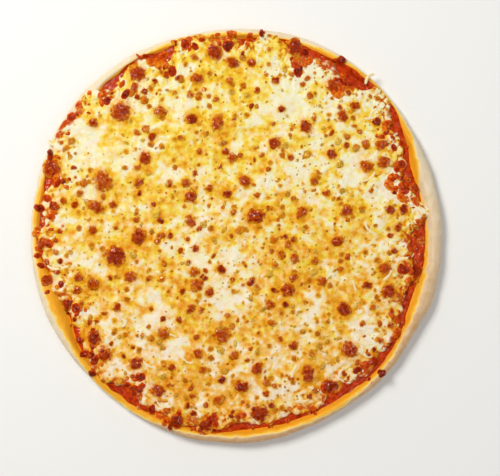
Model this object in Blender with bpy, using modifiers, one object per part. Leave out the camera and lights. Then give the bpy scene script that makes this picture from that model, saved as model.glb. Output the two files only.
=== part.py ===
"""A whole thin-crust cheese pizza: a dough crust with a low uneven rim, a layer of tomato sauce,
a sheet of melted cheese with browned blisters, and the scraps of cheese that lie on the rim.

Metres, +Z up. The origin is the centre of the underside. Angles are in degrees, anticlockwise from +X."""

import math
import random

import bmesh
import bpy
from mathutils import Vector, noise

MM = 0.001

# Driving sizes
PIZZA_RADIUS = 151.9 * MM
BASE_HEIGHT = 5.0 * MM
RIM_WIDTH = 8.4 * MM
RIM_RISE = 7.0 * MM
SAUCE_THICKNESS = 1.2 * MM
CHEESE_THICKNESS = 2.5 * MM
GAP = 0.3 * MM
SHARP_ANGLE = 50
MERGE_DISTANCE = 0.01 * MM
SLIVER_LENGTH = 0.08 * MM

# Where the outline bulges or draws in: angle, half-width in degrees, and how far
EDGE_BULGES = (
    (30, 14, -1.0 * MM),
    (68, 22, 2.4 * MM),
    (135, 24, 3.2 * MM),
    (195, 18, 0.6 * MM),
    (225, 12, -1.2 * MM),
    (265, 22, 1.9 * MM),
    (300, 14, -1.3 * MM),
    (329, 8, -2.2 * MM),
    (343, 8, 1.2 * MM),
)

# Where the rim is wider or pressed narrow under the topping: angle, half-width in degrees, and how far
RIM_CHANGES = (
    (8, 20, 5.0 * MM),
    (38, 10, -4.0 * MM),
    (74, 12, -3.0 * MM),
    (106, 7, -3.0 * MM),
    (150, 20, -4.0 * MM),
    (182, 5, -3.0 * MM),
    (208, 14, 1.6 * MM),
    (237, 6, -3.0 * MM),
    (276, 12, 2.0 * MM),
    (343, 12, 3.4 * MM),
)

# Bays in the cheese's edge where the sauce shows: angle, half-width in degrees, and depth
SAUCE_BAYS = (
    (0, 3.5, 7 * MM),
    (19, 5, 8 * MM),
    (36, 5, 5 * MM),
    (55, 4, 6 * MM),
    (69, 4, 5 * MM),
    (87, 4, 4 * MM),
    (112, 4, 5 * MM),
    (130, 5, 5 * MM),
    (162, 4, 6 * MM),
    (208, 7, 4 * MM),
    (236, 4, 6 * MM),
    (272, 4, 3 * MM),
    (286, 3, 3 * MM),
    (303, 6, 8 * MM),
    (319, 4, 4 * MM),
    (340, 7, 5 * MM),
    (353, 4, 5 * MM),
)

# The largest browned blisters: x, y and width in millimetres, from the pizza's centre
LARGE_BLISTERS = (
    (-16, 135, 12), (-29, 115, 10), (-73, 119, 11), (-85, 91, 15), (-14, 83, 12),
    (-67, 57, 9), (-98, 40, 16), (-103, 21, 12), (-134, 21, 8), (-136, 50, 13),
    (-106, 4, 8), (-34, 11, 9), (14, 14, 15), (-72, -1, 13), (43, 139, 13),
    (71, 110, 10), (51, 80, 10), (78, 88, 8), (107, 67, 9), (70, 60, 8),
    (96, 51, 10), (28, 68, 9), (6, 40, 10), (81, 18, 9), (48, 17, 10),
    (74, -4, 9), (-143, -6, 9), (-89, -15, 15), (-78, -30, 10), (-139, -33, 9),
    (-29, -36, 10), (-34, -54, 8), (-11, -73, 13), (-105, -75, 13), (-97, -87, 11),
    (-74, -94, 11), (-28, -87, 8), (4, -111, 12), (-58, -114, 11), (-44, -137, 11),
    (-23, -141, 12), (38, -40, 11), (63, -34, 8), (109, -24, 10), (112, -41, 11),
    (79, -54, 11), (83, -84, 12), (15, -98, 10), (53, -102, 13), (17, -131, 13),
    (69, -111, 12), (133, -28, 9), (131, 35, 7),
)

# Smooth white stretches with no large blister: x, y and radius in millimetres
PALE_POOLS = (
    (-107, 71, 13), (-38, 95, 10), (-55, 48, 9), (40, 100, 12), (16, 84, 8),
    (85, 47, 9), (112, 34, 9), (-64, -61, 13), (-42, -85, 9), (-107, -21, 7),
    (-6, -50, 9), (93, -66, 10), (69, -101, 8),
)

# Browned scraps on the rim's crest: angle in degrees, width along the rim and length across it
BROWNED_SCRAPS = (
    (59, 6.0 * MM, 7.0 * MM),
    (83, 3.2 * MM, 7.5 * MM),
    (156, 4.5 * MM, 5.0 * MM),
    (223.5, 6.0 * MM, 7.0 * MM),
    (251, 4.2 * MM, 6.0 * MM),
    (316.5, 5.5 * MM, 8.0 * MM),
)

# Pale shreds that lie across the rim: angle in degrees and reach past the outer edge
PALE_SHREDS = ((49.5, 3.6 * MM), (153, 2.0 * MM))

# Rim section: shares are of the rim's width, from its inner foot out to the edge
CREST_SHARE = 0.5
UNDERSIDE_SHARE = 0.72
TURN_STEPS = 90
INNER_SLOPE_POINTS = 4
OUTER_ROUND_POINTS = 5
LOWER_ROUND_POINTS = 3
NARROWEST_RIM = 2.6 * MM
FLATTEST_RIM = 0.25
CREST_WAVE = 0.16
CREST_WAVE_COUNT = 5.0
EDGE_WOBBLE = 0.9 * MM
EDGE_WOBBLE_COUNT = 7.0

# Scraps and shreds on the rim
SCRAP_RISE_SHARE = 0.45
SHRED_THICKNESS = 2.2 * MM
SHRED_STEPS = 6
SHRED_INNER_REACH = 2.5 * MM
SHRED_DROOP = 0.9 * MM
SHRED_SWAY = 0.8

# Cheese sheet
CHEESE_GRID = 34
CHEESE_SETBACK = 2.2 * MM
CHEESE_LIP = 1.4 * MM
CHEESE_LIP_WIDTH = 5.0 * MM
EDGE_CROWDING = 0.6
EDGE_LOBE_DEPTH = 1.6 * MM
EDGE_LOBE_SIZE = 9.0 * MM
MOUND_HEIGHT = 0.9 * MM
MOUND_SIZE = 17.0 * MM

# Blisters
MEDIUM_BLISTERS = 40
MEDIUM_WIDTHS = (4.6 * MM, 7.0 * MM)
MEDIUM_SPREAD = 136.0 * MM
BLISTER_SEED = 11
BLISTER_SPACING = 2.0 * MM
BLISTER_RISE_SHARE = 0.17
BLISTER_SINK = 0.5 * MM
BLISTER_CLEARANCE = 0.3 * MM
DOME_UNEVENNESS = 0.22
DOME_LUMPS = 1.3
DOME_SEGMENTS = 8
LARGE_DOME_RINGS = 6
MEDIUM_DOME_RINGS = 4

SAUCE_TOP = BASE_HEIGHT + GAP + SAUCE_THICKNESS
CHEESE_UNDERSIDE = SAUCE_TOP + GAP


def bumps(angle, features):
    """The sum of the features' bell curves at an angle in degrees."""
    total = 0.0
    for centre, half_width, height in features:
        turn = (angle - centre + 180) % 360 - 180
        total += height * math.exp(-((turn / half_width) ** 2))
    return total


def polar(angle, radius, height=0.0):
    """A point from its angle in degrees, radius and height."""
    return Vector((radius * math.cos(math.radians(angle)), radius * math.sin(math.radians(angle)), height))


def angle_of(point):
    """A point's angle in degrees."""
    return math.degrees(math.atan2(point.y, point.x))


def edge_radius(angle):
    """The crust's outer edge: the large bulges and a small wobble."""
    wobble = EDGE_WOBBLE * noise.noise(polar(angle, EDGE_WOBBLE_COUNT))
    return PIZZA_RADIUS + bumps(angle, EDGE_BULGES) + wobble


def rim_width(angle):
    """How wide the rim is, from its inner foot to its outer edge."""
    return max(NARROWEST_RIM, RIM_WIDTH + bumps(angle, RIM_CHANGES))


def foot_radius(angle):
    """Where the flat floor ends and the rim begins."""
    return edge_radius(angle) - rim_width(angle)


def rim_rise(angle):
    """How far the rim's crest stands above the floor: less where the rim is narrow."""
    wave = 1 + CREST_WAVE * noise.noise(polar(angle, CREST_WAVE_COUNT))
    fullness = min(1.0, rim_width(angle) / RIM_WIDTH)
    return RIM_RISE * wave * (FLATTEST_RIM + (1 - FLATTEST_RIM) * fullness)


def crest_point(angle):
    """The top of the rim at an angle."""
    return polar(angle, foot_radius(angle) + CREST_SHARE * rim_width(angle), BASE_HEIGHT + rim_rise(angle))


def add_object(name, mesh, collection):
    """A new object of a mesh, in a collection."""
    made = bpy.data.objects.new(name, mesh)
    collection.objects.link(made)
    return made


def add_material(item, name, colour, roughness):
    """Gives an object its own food material."""
    material = bpy.data.materials.new(name)
    material.use_nodes = True
    shader = material.node_tree.nodes["Principled BSDF"]
    shader.inputs["Base Color"].default_value = (*colour, 1.0)
    shader.inputs["Roughness"].default_value = roughness
    shader.inputs["Metallic"].default_value = 0.0
    item.data.materials.append(material)


def baked(item):
    """The object's mesh with its modifiers applied. The object itself is removed."""
    evaluated = item.evaluated_get(bpy.context.evaluated_depsgraph_get())
    mesh = bpy.data.meshes.new_from_object(evaluated)
    bpy.data.objects.remove(item)
    return mesh


def turned(name, profile, collection):
    """A profile of (radius, height) points, turned about Z into a closed mesh object."""
    mesh = bpy.data.meshes.new(name)
    edges = [(i, i + 1) for i in range(len(profile) - 1)]
    mesh.from_pydata([(radius, 0.0, height) for radius, height in profile], edges, [])
    blank = add_object(name + "_profile", mesh, collection)
    screw = blank.modifiers.new("turn", "SCREW")
    screw.angle = math.tau
    screw.steps = TURN_STEPS
    screw.render_steps = TURN_STEPS
    screw.use_merge_vertices = True
    screw.merge_threshold = MERGE_DISTANCE
    bpy.context.view_layer.update()
    return add_object(name, baked(blank), collection)


def finish_smooth(item):
    """Smooth shading, with the sharp edges kept."""
    item.data.shade_smooth()
    item.data.set_sharp_from_angle(angle=math.radians(SHARP_ANGLE))


def crust_profile(foot):
    """The crust's section, from the middle of its top, over the rim, to the middle of its underside:
    a soft slope up to the crest, a quarter round down to the edge, and one under it."""
    profile = [(0.0, BASE_HEIGHT), (0.5 * foot, BASE_HEIGHT)]
    for i in range(INNER_SLOPE_POINTS):
        up = i / INNER_SLOPE_POINTS
        profile.append((foot + up * CREST_SHARE * RIM_WIDTH, BASE_HEIGHT + RIM_RISE * up * up * (3 - 2 * up)))
    for i in range(OUTER_ROUND_POINTS + 1):
        turn = 0.5 * math.pi * i / OUTER_ROUND_POINTS
        share = CREST_SHARE + (1 - CREST_SHARE) * math.sin(turn)
        profile.append((foot + share * RIM_WIDTH, BASE_HEIGHT + RIM_RISE * math.cos(turn)))
    for i in range(1, LOWER_ROUND_POINTS + 1):
        turn = 0.5 * math.pi * i / LOWER_ROUND_POINTS
        share = UNDERSIDE_SHARE + (1 - UNDERSIDE_SHARE) * math.cos(turn)
        profile.append((foot + share * RIM_WIDTH, BASE_HEIGHT * (1 - math.sin(turn))))
    return profile + [(0.5 * foot, 0.0), (0.0, 0.0)]


def make_crust(collection):
    """The dough: a turned section, then stretched at each angle to the uneven edge, rim and crest."""
    foot = PIZZA_RADIUS - RIM_WIDTH
    crust = turned("crust", crust_profile(foot), collection)
    for vertex in crust.data.vertices:
        point = vertex.co
        angle = angle_of(point)
        radius = math.hypot(point.x, point.y)
        height = point.z
        if height > BASE_HEIGHT:
            height = BASE_HEIGHT + (height - BASE_HEIGHT) * rim_rise(angle) / RIM_RISE
        if radius <= foot:
            radius *= foot_radius(angle) / foot
        else:
            radius = foot_radius(angle) + (radius - foot) / RIM_WIDTH * rim_width(angle)
        vertex.co = polar(angle, radius, height)
    add_material(crust, "baked_dough", (0.80, 0.62, 0.40), 0.7)
    return crust


def make_sauce(collection):
    """The sauce: a thin turned disc, stretched at each angle to the rim's inner foot."""
    bottom = BASE_HEIGHT + GAP
    rounded = 0.5 * SAUCE_THICKNESS
    outer = PIZZA_RADIUS - RIM_WIDTH
    profile = [
        (0.0, SAUCE_TOP),
        (outer - rounded, SAUCE_TOP),
        (outer, SAUCE_TOP - rounded),
        (outer, bottom),
        (0.0, bottom),
    ]
    sauce = turned("tomato_sauce", profile, collection)
    for vertex in sauce.data.vertices:
        angle = angle_of(vertex.co)
        reach = math.hypot(vertex.co.x, vertex.co.y) / outer
        vertex.co = polar(angle, reach * (foot_radius(angle) - GAP), vertex.co.z)
    add_material(sauce, "tomato_sauce", (0.42, 0.03, 0.012), 0.3)
    return sauce


def cheese_radius(angle):
    """The cheese's ragged edge: set back from the rim, with small lobes and the bays of sauce."""
    lobes = EDGE_LOBE_DEPTH * noise.noise(polar(angle, PIZZA_RADIUS) / EDGE_LOBE_SIZE)
    return foot_radius(angle) - CHEESE_SETBACK - bumps(angle, SAUCE_BAYS) - abs(lobes)


def cheese_top(point, radius, angle):
    """The height of the melted surface: a rounded lip at the edge and gentle mounds inside."""
    inside = min(1.0, (cheese_radius(angle) - radius) / CHEESE_LIP_WIDTH)
    lip = CHEESE_LIP + (CHEESE_THICKNESS - CHEESE_LIP) * math.sin(0.5 * math.pi * max(0.0, inside))
    mound = MOUND_HEIGHT * noise.noise(Vector((point.x, point.y, 0.0)) / MOUND_SIZE)
    return CHEESE_UNDERSIDE + lip + mound * max(0.0, inside)


def make_cheese_sheet(collection):
    """The melted sheet: a square grid rounded to a disc, stretched to the ragged edge, over a flat underside."""
    bpy.ops.mesh.primitive_grid_add(x_subdivisions=CHEESE_GRID, y_subdivisions=CHEESE_GRID, size=2.0)
    grid = bpy.context.object
    sheet = bmesh.new()
    sheet.from_mesh(grid.data)
    bpy.data.objects.remove(grid)
    for vertex in sheet.verts:
        across, along = vertex.co.x, vertex.co.y
        disc = Vector((across * math.sqrt(1 - 0.5 * along**2), along * math.sqrt(1 - 0.5 * across**2), 0.0))
        angle = angle_of(disc)
        crowded = disc.length + EDGE_CROWDING * disc.length * (1 - disc.length)
        radius = crowded * cheese_radius(angle)
        vertex.co = polar(angle, radius)
        vertex.co.z = cheese_top(vertex.co, radius, angle)

    rim_edges = [edge for edge in sheet.edges if edge.is_boundary]
    wall = bmesh.ops.extrude_edge_only(sheet, edges=rim_edges)["geom"]
    for item in wall:
        if isinstance(item, bmesh.types.BMVert):
            item.co.z = CHEESE_UNDERSIDE
    bmesh.ops.contextual_create(sheet, geom=[edge for edge in sheet.edges if edge.is_boundary])
    bmesh.ops.recalc_face_normals(sheet, faces=sheet.faces)
    mesh = bpy.data.meshes.new("cheese")
    sheet.to_mesh(mesh)
    sheet.free()
    return add_object("cheese", mesh, collection)


def dome_mesh(name, size, depth, segments, rings):
    """An uneven dome of the given length, width and rise, with its lower half of the given depth."""
    dome = bmesh.new()
    bmesh.ops.create_uvsphere(dome, u_segments=segments, v_segments=rings, radius=1.0)
    for vertex in dome.verts:
        uneven = 1 + DOME_UNEVENNESS * noise.noise(vertex.co * DOME_LUMPS + size / MM)
        vertex.co.x *= 0.5 * size.x * uneven
        vertex.co.y *= 0.5 * size.y * uneven
        vertex.co.z *= depth if vertex.co.z < 0 else size.z
    mesh = bpy.data.meshes.new(name)
    dome.to_mesh(mesh)
    dome.free()
    return mesh


def scattered_blisters():
    """The medium blisters' places and widths: random, spaced apart, and off the pale pools."""
    draw = random.Random(BLISTER_SEED)
    taken = [(x * MM, y * MM, width * MM) for x, y, width in LARGE_BLISTERS]
    large = len(taken)
    while len(taken) < large + MEDIUM_BLISTERS:
        radius = MEDIUM_SPREAD * math.sqrt(draw.random())
        place = polar(draw.uniform(0, 360), radius)
        width = draw.uniform(*MEDIUM_WIDTHS)
        clear = all(
            math.hypot(place.x - x, place.y - y) > 0.5 * (width + other) + BLISTER_SPACING
            for x, y, other in taken
        )
        dry = all(math.hypot(place.x - x * MM, place.y - y * MM) > reach * MM for x, y, reach in PALE_POOLS)
        if clear and dry:
            taken.append((place.x, place.y, width))
    return taken


def add_blister(index, x, y, width, collection):
    """One browned blister: a dome sunk in the cheese, kept inside the rim."""
    place = Vector((x, y, 0.0))
    angle = angle_of(place)
    furthest = min(foot_radius(angle) - 0.5 * width - CHEESE_SETBACK, cheese_radius(angle) - 0.2 * width)
    radius = min(place.length, furthest)
    rise = BLISTER_RISE_SHARE * width
    size = Vector((width, width * (0.8 + 0.2 * math.sin(index)), rise + BLISTER_SINK))
    centre = polar(angle, radius)
    inner = min(radius, cheese_radius(angle) - 0.5 * width)
    centre.z = cheese_top(centre, inner, angle) - BLISTER_SINK
    depth = centre.z - CHEESE_UNDERSIDE - BLISTER_CLEARANCE
    rings = LARGE_DOME_RINGS if width > MEDIUM_WIDTHS[1] else MEDIUM_DOME_RINGS
    blister = add_object(f"blister_{index}", dome_mesh("blister", size, depth, DOME_SEGMENTS, rings), collection)
    blister.location = centre
    blister.rotation_euler.z = index


def clean_union(item):
    """Takes out the shortest edges that a union leaves, and splits its faces into triangles."""
    mesh = bmesh.new()
    mesh.from_mesh(item.data)
    bmesh.ops.dissolve_degenerate(mesh, edges=mesh.edges, dist=SLIVER_LENGTH)
    bmesh.ops.triangulate(mesh, faces=mesh.faces)
    mesh.to_mesh(item.data)
    mesh.free()


def make_cheese(collection):
    """The cheese sheet with every blister fused on."""
    sheet = make_cheese_sheet(collection)
    blisters = bpy.data.collections.new("blisters")
    bpy.context.scene.collection.children.link(blisters)
    for index, (x, y, width) in enumerate(scattered_blisters()):
        add_blister(index, x, y, width, blisters)
    union = sheet.modifiers.new("fuse_blisters", "BOOLEAN")
    union.operation = "UNION"
    union.operand_type = "COLLECTION"
    union.collection = blisters
    bpy.context.view_layer.update()
    cheese = add_object("cheese_fused", baked(sheet), collection)
    cheese.name = "cheese"
    clean_union(cheese)
    for blister in list(blisters.objects):
        bpy.data.objects.remove(blister)
    bpy.data.collections.remove(blisters)
    add_material(cheese, "melted_cheese", (0.86, 0.66, 0.30), 0.4)
    return cheese


def cut_flat(item):
    """Cuts away everything below the object's own floor and closes the cut with one flat face."""
    cut = bmesh.new()
    cut.from_mesh(item.data)
    geometry = cut.verts[:] + cut.edges[:] + cut.faces[:]
    bmesh.ops.bisect_plane(cut, geom=geometry, plane_no=(0, 0, 1), clear_inner=True, dist=MERGE_DISTANCE)
    bmesh.ops.contextual_create(cut, geom=[edge for edge in cut.edges if edge.is_boundary])
    bmesh.ops.recalc_face_normals(cut, faces=cut.faces)
    cut.to_mesh(item.data)
    cut.free()


def make_browned_scraps(collection):
    """The browned scraps of cheese that rest on the rim's crest."""
    made = []
    for index, (angle, width, length) in enumerate(BROWNED_SCRAPS, start=1):
        size = Vector((length, width, SCRAP_RISE_SHARE * width))
        scrap = add_object(f"browned_scrap_{index}", dome_mesh("scrap", size, size.z, 10, 6), collection)
        cut_flat(scrap)
        scrap.location = crest_point(angle) + Vector((0.0, 0.0, GAP))
        scrap.rotation_euler.z = math.radians(angle)
        add_material(scrap, f"browned_cheese_{index}", (0.26, 0.07, 0.02), 0.35)
        made.append(scrap)
    return made


def make_pale_shreds(collection):
    """The pale shreds: short round strips that lie on the rim's crest and droop past the edge."""
    made = []
    for index, (angle, reach) in enumerate(PALE_SHREDS, start=1):
        half_rim = (1 - CREST_SHARE) * rim_width(angle)
        crest = edge_radius(angle) - half_rim
        top = crest_point(angle).z + GAP + 0.5 * SHRED_THICKNESS
        curve = bpy.data.curves.new(f"pale_shred_{index}", "CURVE")
        curve.dimensions = "3D"
        curve.bevel_depth = 0.5 * SHRED_THICKNESS
        curve.bevel_resolution = 1
        curve.use_fill_caps = True
        spline = curve.splines.new("POLY")
        spline.points.add(SHRED_STEPS)
        for step, point in enumerate(spline.points):
            radius = crest - SHRED_INNER_REACH + step / SHRED_STEPS * (SHRED_INNER_REACH + half_rim + reach)
            past = max(0.0, (radius - crest) / half_rim)
            sway = SHRED_SWAY * math.sin(math.pi * step / SHRED_STEPS)
            point.co = (*polar(angle + sway, radius, top - SHRED_DROOP * past**2), 1.0)
        shred = add_object(f"pale_shred_{index}", curve, collection)
        add_material(shred, f"pale_cheese_{index}", (0.86, 0.74, 0.50), 0.4)
        made.append(shred)
    return made


def main():
    """Clears the scene and builds the pizza, each piece under one empty at the origin."""
    for item in list(bpy.data.objects):
        bpy.data.objects.remove(item)
    pizza = bpy.data.collections.new("cheese_pizza")
    bpy.context.scene.collection.children.link(pizza)
    centre = bpy.data.objects.new("pizza_centre", None)
    pizza.objects.link(centre)

    rounded = [make_crust(pizza), make_sauce(pizza), make_cheese(pizza), *make_browned_scraps(pizza)]
    for item in rounded:
        finish_smooth(item)
    for item in rounded + make_pale_shreds(pizza):
        item.parent = centre


main()
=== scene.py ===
"""Dresses a whole cheese pizza: the baked dough, the tomato sauce, the melted cheese with its browned
blisters, the shreds and scraps on it, and a pale studio stage. Shapes are worked out with numpy."""

import functools
import math
import random

import bpy
import numpy as np
from bpy.props import FloatProperty, FloatVectorProperty, IntProperty, PointerProperty
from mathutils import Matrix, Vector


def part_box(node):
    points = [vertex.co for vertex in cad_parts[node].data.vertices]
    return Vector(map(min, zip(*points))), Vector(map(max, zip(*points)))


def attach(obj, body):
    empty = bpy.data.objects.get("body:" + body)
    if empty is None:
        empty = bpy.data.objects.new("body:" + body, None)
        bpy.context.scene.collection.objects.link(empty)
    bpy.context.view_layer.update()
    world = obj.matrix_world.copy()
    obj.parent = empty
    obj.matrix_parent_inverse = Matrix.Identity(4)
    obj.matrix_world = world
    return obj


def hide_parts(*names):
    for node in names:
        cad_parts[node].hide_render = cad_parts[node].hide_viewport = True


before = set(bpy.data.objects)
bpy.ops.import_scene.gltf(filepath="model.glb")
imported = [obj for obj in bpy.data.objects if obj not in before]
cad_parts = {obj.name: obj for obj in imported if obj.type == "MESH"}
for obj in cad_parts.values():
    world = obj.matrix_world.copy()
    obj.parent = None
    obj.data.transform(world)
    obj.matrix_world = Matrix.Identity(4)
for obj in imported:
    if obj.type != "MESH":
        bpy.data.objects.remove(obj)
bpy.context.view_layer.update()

bl_info = {
    "name": "Cheese Pizza",
    "version": (1, 0, 0),
    "blender": (4, 5, 0),
    "location": "View3D > Sidebar > Pizza",
    "description": "Makes a whole thin-crust cheese pizza with browned blisters",
    "category": "Add Mesh",
}

MM = 0.001

# The photograph: how many millimetres a pixel covers, and where the pizza's centre is in it
MM_PER_PIXEL = 0.739
PIZZA_CENTRE_PX = (236.5, 235.5)
IMAGE_SIZE_PX = (500, 476)

# The levels of dough, sauce and cheese, as the solids have them
BASE_HEIGHT = 5.0 * MM
SAUCE_TOP = 6.5 * MM
CHEESE_UNDERSIDE = 6.8 * MM
CHEESE_THICKNESS = 2.5 * MM

# How far across the rim its crest and the edge of its underside lie, and how many spokes the solid has
CREST_SHARE = 0.5
UNDERSIDE_SHARE = 0.72
RIM_SPOKES = 90

# How finely shapes are divided: the turns of round ones, by their angle, and the cheese's square grid
TURNS = 720
DEGREES = np.arange(TURNS) * 360 / TURNS
RADIANS = np.radians(DEGREES)
CHEESE_GRID = 300

# How many medium blisters the solid cheese has, and how many curds, shreds and flecks lie on the topping
SOLID_MEDIUM_BLISTERS = 40
CURDS = 200
SHREDS = 40
FLECKS = 55

# The largest browned blisters: x, y and width in millimetres, from the pizza's centre
LARGE_BLISTERS = (
    (-16, 135, 12), (-29, 115, 10), (-73, 119, 11), (-85, 91, 15), (-14, 83, 12),
    (-67, 57, 9), (-98, 40, 16), (-103, 21, 12), (-134, 21, 8), (-136, 50, 13),
    (-106, 4, 8), (-34, 11, 9), (14, 14, 15), (-72, -1, 13), (43, 139, 13),
    (71, 110, 10), (51, 80, 10), (78, 88, 8), (107, 67, 9), (70, 60, 8),
    (96, 51, 10), (28, 68, 9), (6, 40, 10), (81, 18, 9), (48, 17, 10),
    (74, -4, 9), (-143, -6, 9), (-89, -15, 15), (-78, -30, 10), (-139, -33, 9),
    (-29, -36, 10), (-34, -54, 8), (-11, -73, 13), (-105, -75, 13), (-97, -87, 11),
    (-74, -94, 11), (-28, -87, 8), (4, -111, 12), (-58, -114, 11), (-44, -137, 11),
    (-23, -141, 12), (38, -40, 11), (63, -34, 8), (109, -24, 10), (112, -41, 11),
    (79, -54, 11), (83, -84, 12), (15, -98, 10), (53, -102, 13), (17, -131, 13),
    (69, -111, 12), (133, -28, 9), (131, 35, 7),
)

# Medium browned spots, measured in the same way
MEDIUM_BLISTERS = (
    (-3, 127, 9), (11, 127, 7), (-75, 109, 7), (-73, 102, 4), (-67, 106, 5), (-60, 113, 4), (-52, 118, 5),
    (-43, 116, 4), (-15, 100, 5), (5, 110, 5), (15, 107, 5), (29, 114, 5), (54, 103, 5), (82, 105, 4),
    (-105, 83, 7), (-56, 91, 9), (-33, 86, 9), (11, 95, 4), (33, 93, 5), (57, 86, 4), (76, 94, 4),
    (87, 95, 7), (103, 84, 7), (-62, 73, 7), (-27, 62, 5), (-9, 68, 4), (81, 66, 5), (91, 76, 4),
    (95, 67, 7), (-127, 40, 5), (-120, 50, 4), (-31, 46, 5), (-12, 51, 4), (-3, 57, 7), (23, 49, 4),
    (40, 58, 5), (57, 40, 7), (108, 54, 9), (121, 42, 4), (127, 41, 4), (-127, 25, 5), (-119, 23, 5),
    (-91, 23, 7), (-72, 39, 7), (-72, 31, 5), (-61, 23, 4), (-49, 37, 4), (-37, 39, 7), (-34, 29, 9),
    (-7, 31, 7), (23, 20, 4), (42, 27, 4), (75, 27, 4), (130, 27, 4), (-130, 3, 4), (-89, 6, 4),
    (-56, 11, 5), (-55, 0, 5), (-49, 0, 5), (-28, 5, 4), (-4, 0, 4), (113, 19, 7), (113, 0, 4), (119, 6, 7),
    (123, 19, 7), (132, 0, 4), (-133, -4, 4), (-130, -19, 4), (-41, -11, 4), (-36, -3, 4), (-35, -20, 4),
    (-30, -10, 5), (-17, -15, 4), (26, -11, 4), (33, -14, 7), (36, -1, 4), (42, -3, 4), (43, -17, 7),
    (82, -16, 5), (116, -11, 5), (131, -20, 4), (-132, -27, 5), (-117, -40, 7), (-116, -31, 7),
    (-105, -36, 9), (-93, -31, 4), (-65, -32, 5), (-31, -27, 7), (-26, -30, 4), (-23, -32, 4),
    (-23, -26, 4), (-11, -25, 7), (11, -34, 7), (27, -40, 4), (42, -31, 7), (76, -25, 5), (96, -37, 7),
    (121, -23, 5), (129, -35, 4), (-125, -51, 9), (-88, -53, 7), (-63, -54, 4), (-40, -41, 5),
    (-20, -42, 7), (25, -51, 7), (36, -51, 5), (114, -56, 5), (115, -60, 4), (119, -44, 4), (125, -42, 4),
    (-119, -62, 4), (-108, -64, 4), (-103, -63, 4), (-92, -80, 4), (-54, -61, 4), (-54, -72, 9),
    (-42, -62, 5), (26, -64, 7), (32, -76, 4), (93, -65, 4), (105, -65, 5), (114, -66, 5), (-83, -89, 4),
    (-76, -82, 4), (-48, -97, 7), (-25, -99, 7), (-2, -88, 7), (8, -92, 4), (42, -81, 7), (97, -88, 4),
    (101, -84, 4), (-76, -112, 5), (-76, -104, 4), (-71, -113, 4), (-50, -110, 5), (-32, -118, 5),
    (-11, -106, 7), (22, -116, 5), (28, -111, 5), (79, -102, 4), (-36, -125, 4), (-32, -131, 5),
    (-23, -125, 5), (-16, -131, 4), (-13, -121, 9), (-4, -133, 4), (-3, -129, 4), (2, -133, 7),
    (8, -125, 4), (26, -125, 5),
)

# Smooth white stretches with few spots, as the solids have them: x, y and radius in millimetres
PALE_POOLS = (
    (-107, 71, 13), (-38, 95, 10), (-55, 48, 9), (40, 100, 12), (16, 84, 8),
    (85, 47, 9), (112, 34, 9), (-64, -61, 13), (-42, -85, 9), (-107, -21, 7),
    (-6, -50, 9), (93, -66, 10), (69, -101, 8),
)

# More such stretches, which the solids' own rule for blisters leaves out
MORE_POOLS = (
    (-28, -16, 9), (58, 24, 10), (-96, -25, 9), (-86, 99, 9), (11, 109, 8),
    (-66, 84, 8), (-94, 60, 10), (80, 70, 8), (1, 67, 7), (-51, 94, 7),
)

ALL_POOLS = PALE_POOLS + MORE_POOLS

# Golden, oilier stretches: x, y and radius in millimetres
GOLDEN_PATCHES = (
    (-6, 118, 24), (-18, 72, 26), (-50, 42, 20), (-2, 36, 22), (34, -50, 26),
    (10, -70, 22), (-86, -12, 18), (-108, -48, 14), (24, -2, 24), (44, -98, 24),
    (46, 4, 16), (-18, -114, 18), (66, -60, 20), (92, 0, 12), (-92, 60, 12),
    (98, -44, 18), (-30, -60, 24), (26, 10, 24), (60, -26, 24), (-36, -104, 16),
    (115, 76, 13), (121, 54, 13), (129, 6, 10), (-40, -100, 20), (20, -84, 20),
    (-7, 15, 14), (95, -18, 13), (76, -32, 13), (12, -16, 13), (1, 29, 12),
    (-60, -35, 13), (33, 61, 11), (2, -54, 12), (-121, -4, 10),
)

# Where the cheese has run out over the rim: angle, half-width in degrees, and reach in millimetres
CHEESE_DRAPES = (
    (43, 4, 9), (62, 4, 2), (80, 5, 5), (92, 5, 4), (103, 5, 7),
    (120, 4, 6), (137, 4, 5), (149, 6, 6), (168, 4, 2), (226, 4, 4),
    (254, 4, 2), (266, 5, 1), (295, 3, 2), (7, 4, 6), (327, 4, 1),
)

# Clusters of dark sauce-stained lumps along the rim: angle, spread in degrees, and how many
EDGE_CLUSTERS = (
    (162, 4, 10), (236, 4, 10), (114, 4, 10), (262, 3, 7), (182, 6, 8),
    (248, 4, 7), (217, 6, 9), (205, 6, 6), (35, 4, 9), (22, 5, 10),
    (14, 3, 9), (348, 3, 9), (70, 4, 8), (55, 4, 9), (90, 5, 8),
    (132, 6, 7), (145, 5, 5), (172, 4, 5), (192, 4, 4), (318, 4, 5),
    (275, 5, 4), (290, 6, 4), (330, 5, 4), (302, 4, 3), (102, 4, 5),
)

# Where oily dough shows instead of sauce: angle, half-width in degrees, and how far in, in millimetres
SAUCE_GAPS = ((200, 11, 6.5), (141, 8, 5), (341, 7, 3), (20, 5, 2))

# Where the sauce has run up over the rim, given in the same way, but outwards
SAUCE_RUNS = ((49, 12, 4), (120, 6, 2), (228, 5, 2), (262, 5, 2))

# How far out oil has stained the dough, in millimetres, at each 15 degrees from the right side round
OIL_REACH = (
    142, 140, 149, 153, 152.5, 150.5, 149.5, 151, 150, 149, 149, 150.5,
    150.5, 148.5, 146, 150, 151, 149.5, 148.5, 147.5, 148, 146.5, 143.5, 143,
)

# Pale shreds that lie across the rim: angle in degrees and reach past the edge in millimetres
PALE_SHREDS = ((49.5, 3.6), (153, 2.0))

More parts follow.
